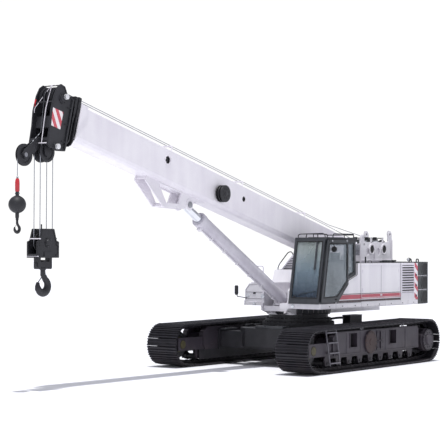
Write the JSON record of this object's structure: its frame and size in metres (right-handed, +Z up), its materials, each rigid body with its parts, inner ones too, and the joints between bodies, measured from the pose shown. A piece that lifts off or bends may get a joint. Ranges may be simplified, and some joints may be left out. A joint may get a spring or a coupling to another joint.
{
  "type": "crawler crane",
  "caption": "Telescopic-boom crawler crane with luffing cylinder, nested boom sections, side cab with sliding door, slab counterweight, hook block and ball.",
  "frame": {"origin": "on the ground under the middle of the parked crane's length and width", "axes": "+X forward along the boom, +Y to the machine's left (cab side), +Z up"},
  "size_m": [14.5114, 4.584, 6.1133],
  "materials": {
    "white_paint": "satin",
    "grey_paint": "satin",
    "charcoal_paint": "satin",
    "black_paint": "satin",
    "frame_paint": "matt",
    "steel": "machined",
    "chrome": "polished",
    "glass": "tinted",
    "seat_cloth": "matt",
    "plastic": "matt",
    "cast_weight": "painted"
  },
  "bodies": {
    "carbody": {"carbody_frame": "charcoal_paint", "swing_bearing": "black_paint", "crawler_frame_left": "frame_paint", "track_loop_left": "black_paint", "drive_sprocket_left": "frame_paint", "front_idler_left": "frame_paint", "track_rollers_left": "black_paint", "crawler_frame_right": "frame_paint", "track_loop_right": "black_paint", "drive_sprocket_right": "frame_paint", "front_idler_right": "frame_paint", "track_rollers_right": "black_paint"},
    "cab_door_panel": {"cab_door": "charcoal_paint", "cab_door_glass": "glass"},
    "boom_main": {"boom_base": "white_paint", "hose_reel": "black_paint", "boom_foot_pin": "steel"},
    "boom_second": {"boom_section_2": "black_paint"},
    "boom_third": {"boom_section_3": "black_paint"},
    "boom_tip": {"boom_section_4": "grey_paint", "boom_head": "black_paint", "head_sheaves_upper": "black_paint", "head_sheaves_lower": "black_paint", "aux_sheave": "black_paint"},
    "lift_barrel": {"lift_cylinder_barrel": "grey_paint"},
    "lift_rod": {"lift_cylinder_rod": "chrome"},
    "main_hook_set": {"main_falls_left": "steel", "main_falls_right": "steel", "hook_block": "black_paint", "block_sheaves": "black_paint", "main_hook": "black_paint"},
    "aux_hook_set": {"aux_line": "steel", "hook_ball": "black_paint", "ball_hook": "black_paint"},
    "upper_works": {"aux_winch_drum": "black_paint", "cab_shell": "charcoal_paint", "control_console": "plastic", "counterweight_lower": "cast_weight", "counterweight_middle": "cast_weight", "counterweight_upper": "cast_weight", "cylinder_foot_pin": "steel", "deck_frame": "white_paint", "door_runner": "black_paint", "engine_block": "frame_paint", "engine_hood_right": "white_paint", "fuel_tank": "white_paint", "left_side_housing": "white_paint", "main_winch_drum": "black_paint", "operator_seat": "seat_cloth", "quarter_glass": "glass", "right_window_glass": "glass", "roof_guard_rail": "black_paint", "winch_frame": "white_paint", "windshield_glass": "glass"}
  },
  "joints": [
    {"name": "swing", "type": "hinge", "parent": "carbody", "child": "upper_works", "pos_m": [-3.0057, 0, 1.2], "axis": [0, 0, 1], "continuous": true},
    {"name": "boom_luff", "type": "hinge", "parent": "upper_works", "child": "boom_main", "pos_m": [-4.4397, 0, 2.643], "axis": [0, -1, 0], "range_deg": [-5, 66]},
    {"name": "telescope", "type": "slide", "parent": "boom_main", "child": "boom_second", "axis": [0.9711, 0, 0.2387], "range_m": [0, 8.08]},
    {"name": "telescope_third", "type": "slide", "parent": "boom_second", "child": "boom_third", "axis": [0.9711, 0, 0.2387], "range_m": [0, 8.08]},
    {"name": "telescope_tip", "type": "slide", "parent": "boom_third", "child": "boom_tip", "axis": [0.9711, 0, 0.2387], "range_m": [0, 8.08]},
    {"name": "lift_barrel_pivot", "type": "hinge", "parent": "upper_works", "child": "lift_barrel", "pos_m": [-2.4057, 0, 1.55], "axis": [0, -1, 0], "range_deg": [-6, 66.99]},
    {"name": "lift_rod_slide", "type": "slide", "parent": "lift_barrel", "child": "lift_rod", "axis": [0.8764, 0, 0.4816], "range_m": [-0.2005, 2.5252]},
    {"name": "main_hook_hang", "type": "hinge", "parent": "boom_tip", "child": "main_hook_set", "pos_m": [6.3443, 0, 4.76], "axis": [0, -1, 0], "range_deg": [-67, 6]},
    {"name": "aux_hook_hang", "type": "hinge", "parent": "boom_tip", "child": "aux_hook_set", "pos_m": [6.9043, 0, 4.67], "axis": [0, -1, 0], "range_deg": [-67, 6]},
    {"name": "cab_door_slide", "type": "slide", "parent": "upper_works", "child": "cab_door_panel", "axis": [-1, 0, 0], "range_m": [0, 0.6]}
  ],
  "couplings": [
    {"joint": "telescope_third", "follows": "telescope", "ratio": 1},
    {"joint": "telescope_tip", "follows": "telescope", "ratio": 1},
    {"joint": "lift_barrel_pivot", "follows": "boom_luff", "ratio": 0.99979},
    {"joint": "lift_rod_slide", "follows": "boom_luff", "m_per_rad": 2.1835},
    {"joint": "main_hook_hang", "follows": "boom_luff", "ratio": -1},
    {"joint": "aux_hook_hang", "follows": "boom_luff", "ratio": -1}
  ]
}
